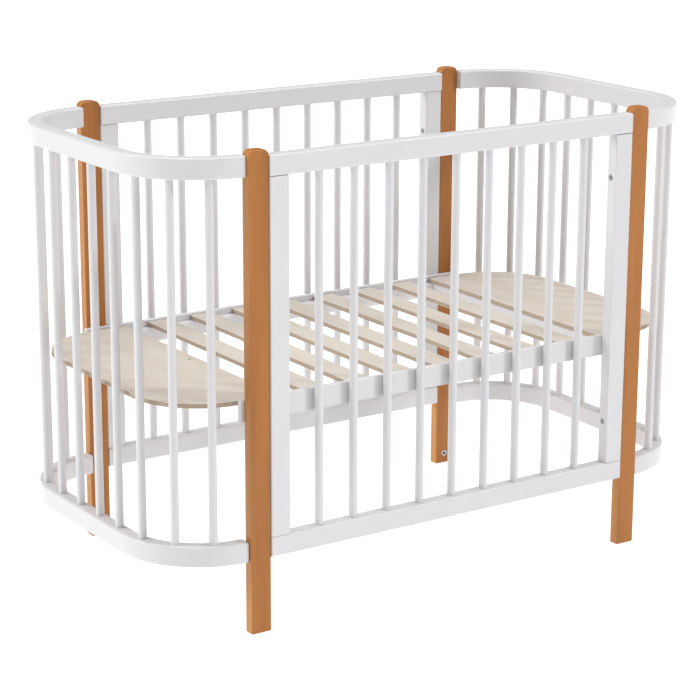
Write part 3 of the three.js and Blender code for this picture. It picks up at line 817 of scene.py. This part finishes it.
class CRIB_OT_base(bpy.types.Operator):
    """Build the mattress base: side boards, ledges, cross rails, slats and the rounded end boards"""
    bl_idname = "crib.base"
    bl_label = "Mattress base"

    def execute(self, context):
        edge = context.scene.crib_sizes.slat_edge
        white, birch = finish_of("white_lacquer"), finish_of("birch_ply")
        for row, sy in ROWS:
            self.side_board(row, sy, white)
        for hand, sx in SIDES:
            node = f"cross_rail_{hand}"
            mesh = self.crossbar(node, CROSS_RAIL_EDGE, CROSS_RAIL_END_EASE, 0.9 + 0.2 * sx)
            fit(node, mesh, white, (node,))
            self.end_board(f"end_board_{hand}", sx, birch, edge)
        for k in range(1, SLATS + 1):
            node = f"slat_{k}"
            mesh = self.crossbar(node, edge, SLAT_END_EASE, 0.13 * k)
            fit(node, mesh, birch, (node,))
        return {"FINISHED"}

    def crossbar(self, node, edge, ease, shift):
        """Straight bar along y."""
        mid, size = middle(node), span(node)
        path = straight((mid[0], low(node)[1], mid[2]), (0, 1, 0), (1, 0, 0))
        return bar(node, path, size[1], size[0] / 2, size[2] / 2, edge, ease,
                   np.linspace(0, size[1], 8), shift)

    def side_board(self, row, sy, white):
        """Board along x, bored for its two bolts, and the ledge on its inner side that the slats lie on."""
        node = f"base_rail_{row}"
        lowest, highest = low(node), high(node)
        inner, outer = sorted((abs(lowest[1]), abs(highest[1])))
        height = highest[2] - lowest[2]
        path = straight((lowest[0], sy * (outer - BASE_BOARD_DEPTH / 2), lowest[2] + height / 2),
                        (1, 0, 0), (0, 1, 0))
        mesh = bar(node, path, highest[0] - lowest[0], BASE_BOARD_DEPTH / 2, height / 2, BASE_BOARD_EDGE,
                   BASE_BOARD_END_EASE, np.linspace(0, 1, 14), 0.7 + sy)
        bolts = (middle(f"base_bolt_{row}_{hand}") for hand, _ in SIDES)
        rows = ((0, BORE), (5 * BASE_BOARD_DEPTH, BORE))
        drills = [drill_mesh((bolt[0], sy * (outer - 3 * BASE_BOARD_DEPTH), bolt[2]), (0, sy, 0), rows)
                  for bolt in bolts]
        fit(node, drilled(mesh, drills), white, (node,))
        depth = outer - BASE_BOARD_DEPTH - inner
        path = straight((-LEDGE_LENGTH / 2, sy * (inner + depth / 2), lowest[2] + LEDGE_HEIGHT / 2),
                        (1, 0, 0), (0, 1, 0))
        mesh = bar("ledge", path, LEDGE_LENGTH, depth / 2, LEDGE_HEIGHT / 2, LEDGE_EDGE, LEDGE_END_EASE,
                   np.linspace(0, 1, 10), 0.2 + sy)
        fit(f"base_ledge_{row}", mesh, white, (node,))

    def end_board(self, node, sx, birch, edge):
        """Rounded board: its outline is straight at the slats and turns through two quarter circles outside.
        Rings of that outline are stacked from the underside to the top, drawn in by a quarter circle at both
        faces."""
        lowest, highest = low(node), high(node)
        near, far = sorted((abs(lowest[0]), abs(highest[0])))
        half = (highest[1] - lowest[1]) / 2
        s, draw = eased_stations(highest[2] - lowest[2], edge, CORNER_STEPS)
        small, big = END_BOARD_INNER_CORNER, END_BOARD_OUTER_CORNER
        quarter = np.linspace(0, QUARTER_TURN, BOARD_CORNER_STATIONS)
        turn = np.concatenate([quarter - QUARTER_TURN, quarter, quarter + QUARTER_TURN, quarter + math.pi])
        n = len(quarter)
        radius = np.repeat([big, big, small, small], n)
        centre_x = np.repeat([far - big, far - big, near + small, near + small], n)
        centre_y = np.repeat([-half + big, half - big, half - small, -half + small], n)
        across = centre_x + (radius - draw[:, None]) * np.cos(turn)
        up = centre_y + (radius - draw[:, None]) * np.sin(turn)
        if sx < 0:
            across, up = -across[:, ::-1], up[:, ::-1]
        lie = eased_lie(s, draw, edge, turn if sx > 0 else math.pi - turn[::-1])
        path = straight((0, 0, lowest[2]), (0, 0, 1), (1, 0, 0))
        fit(node, skin(node, path, s, across, up, 0.4, lie), birch, (node,))


class CRIB_OT_hardware(bpy.types.Operator):
    """Build the socket bolts, the threaded collars in the legs and the wood screws"""
    bl_idname = "crib.hardware"
    bl_label = "Hardware"

    def execute(self, context):
        sizes = context.scene.crib_sizes
        steel = finish_of("steel")
        for row, sy in ROWS:
            for hand, sx in SIDES:
                for level in ("lower", "upper"):
                    self.bolt(f"bolt_{row}_{hand}_{level}", (sx, 0, 0), steel, sizes)
                self.bolt(f"base_bolt_{row}_{hand}", (0, sy, 0), steel, sizes)
                leg = f"leg_{row}_{hand}"
                face = middle(leg)[1] - sy * span(leg)[1] / 2
                mesh = collar_mesh((middle(leg)[0] + sx * INSERT_OFFSET, face, INSERT_HEIGHT), (0, -sy, 0))
                fit(f"insert_{row}_{hand}", mesh, steel)
        self.screws(steel)
        return {"FINISHED"}

    def bolt(self, node, inward, steel, sizes):
        """One socket bolt that points inward, as long as its node."""
        length = np.abs(inward) @ span(node)
        top = middle(node) - np.array(inward) * length / 2
        mesh = bolt_mesh(node, top, inward, length - HEAD_HEIGHT, sizes.bolt_head, sizes.hex_flats)
        fit(node, mesh, steel, (node,))

    def screws(self, steel):
        """One flat-headed wood screw in the middle of each end board's inner edge: circles over a low dome
        and down into a small recess."""
        top = high("end_board_left")[2]
        for hand, sx in SIDES:
            s = np.array([0, 0.2 * MM, 0.3 * MM, 0.3 * MM, 0.08 * MM])
            r = np.array([3.6 * MM, 3.5 * MM, 3.2 * MM, 1.4 * MM, 0.8 * MM])
            path = straight((sx * SCREW_X, 0, top + SCREW_LIFT), (0, 0, 1), (1, 0, 0))
            fit(f"board_screw_{hand}", turned("screw", path, s, r, SCREW_SIDES), steel)


# Stage

AMBIENT = 0.13
FLOOR_HALF = 30.0
LAMPS = (  # name, place in metres, spread in degrees, power
    ("overhead", (0, 0.3, 4), 70, 2.7),
    ("key", (2.6, -2.9, 2.4), 9, 1.15),
    ("fill", (-4.2, 2.4, 2.0), 25, 1.5),
)
CAMERA_PLACE = (-2.45428, -3.61622, 1.59963)
CAMERA_DEGREES = (33.895, -15.356, 0.2405)  # yaw from +y towards +x, pitch and roll
CAMERA_LENS = 115.753
CAMERA_SENSOR = 36.0
CAMERA_RANGE = 200.0


def turned_to(columns):
    """Placing matrix from an object's x, y and z axes and its origin."""
    turn = np.eye(4)
    turn[:3, :] = np.stack(columns, 1)
    return Matrix(turn.tolist())


class CRIB_OT_stage(bpy.types.Operator):
    """Set the pale floor, the studio lights and the camera"""
    bl_idname = "crib.stage"
    bl_label = "Stage"

    def execute(self, context):
        scene = context.scene
        scene.view_settings.view_transform = "Standard"
        world = bpy.data.worlds.new("studio")
        world.use_nodes = True
        background = world.node_tree.nodes["Background"]
        background.inputs[0].default_value = (1, 1, 1, 1)
        background.inputs[1].default_value = AMBIENT
        scene.world = world
        self.floor()
        for lamp in LAMPS:
            self.lamp(*lamp)
        self.camera(scene)
        return {"FINISHED"}

    def floor(self):
        """One wide flat sheet just under the legs."""
        mesh = bpy.data.meshes.new("floor")
        corners = np.array([(-1, -1, 0), (1, -1, 0), (1, 1, 0), (-1, 1, 0)]) * FLOOR_HALF
        mesh.from_pydata(corners - (0, 0, 0.5 * MM), [], [(0, 1, 2, 3)])
        mesh.materials.append(floor_finish())
        sheet = bpy.data.objects.new("floor", mesh)
        bpy.context.collection.objects.link(sheet)

    def lamp(self, name, place, spread, power):
        """A far light that shines from a place towards the floor under the crib, spread over an angle in
        degrees."""
        light = bpy.data.lights.new(name, "SUN")
        light.angle = math.radians(spread)
        light.energy = power
        lamp = bpy.data.objects.new(name, light)
        back = np.array(place, float)
        back /= np.linalg.norm(back)
        right = np.cross((0, 1.0, 0), back)
        right /= np.linalg.norm(right)
        lamp.matrix_world = turned_to([right, np.cross(back, right), back, np.array(place)])
        bpy.context.collection.objects.link(lamp)

    def camera(self, scene):
        """Long lens in front and to the left, a little above the crib."""
        yaw, pitch, roll = (math.radians(v) for v in CAMERA_DEGREES)
        forward = np.array([math.sin(yaw) * math.cos(pitch), math.cos(yaw) * math.cos(pitch),
                            math.sin(pitch)])
        level = np.array([math.cos(yaw), -math.sin(yaw), 0])
        upright = np.cross(level, forward)
        right = math.cos(roll) * level + math.sin(roll) * upright
        up = -math.sin(roll) * level + math.cos(roll) * upright
        lens = bpy.data.cameras.new("camera")
        lens.lens, lens.sensor_width, lens.clip_end = CAMERA_LENS, CAMERA_SENSOR, CAMERA_RANGE
        camera = bpy.data.objects.new("camera", lens)
        camera.matrix_world = turned_to([right, up, -forward, np.array(CAMERA_PLACE)])
        bpy.context.collection.objects.link(camera)
        scene.camera = camera


PIECES = (CRIB_OT_legs, CRIB_OT_side_panels, CRIB_OT_rounded_ends, CRIB_OT_base, CRIB_OT_hardware,
          CRIB_OT_stage)


class CRIB_PT_panel(bpy.types.Panel):
    """The crib's sizes, colours and pieces"""
    bl_idname = "CRIB_PT_panel"
    bl_label = "Crib"
    bl_space_type = "VIEW_3D"
    bl_region_type = "UI"
    bl_category = "Crib"

    def draw(self, context):
        for group in (context.scene.crib_sizes, context.scene.crib_colours):
            for name in group.__annotations__:
                self.layout.prop(group, name)
        for piece in PIECES:
            self.layout.operator(piece.bl_idname)


CLASSES = (CribSizes, CribColours, *PIECES, CRIB_PT_panel)


def register():
    for made in CLASSES:
        bpy.utils.register_class(made)
    bpy.types.Scene.crib_sizes = bpy.props.PointerProperty(type=CribSizes)
    bpy.types.Scene.crib_colours = bpy.props.PointerProperty(type=CribColours)


def unregister():
    del bpy.types.Scene.crib_colours
    del bpy.types.Scene.crib_sizes
    for made in reversed(CLASSES):
        bpy.utils.unregister_class(made)


def main():
    """Register and build every piece in turn."""
    register()
    bpy.ops.crib.legs()
    bpy.ops.crib.side_panels()
    bpy.ops.crib.rounded_ends()
    bpy.ops.crib.base()
    bpy.ops.crib.hardware()
    bpy.ops.crib.stage()


if __name__ == "__main__":
    main()
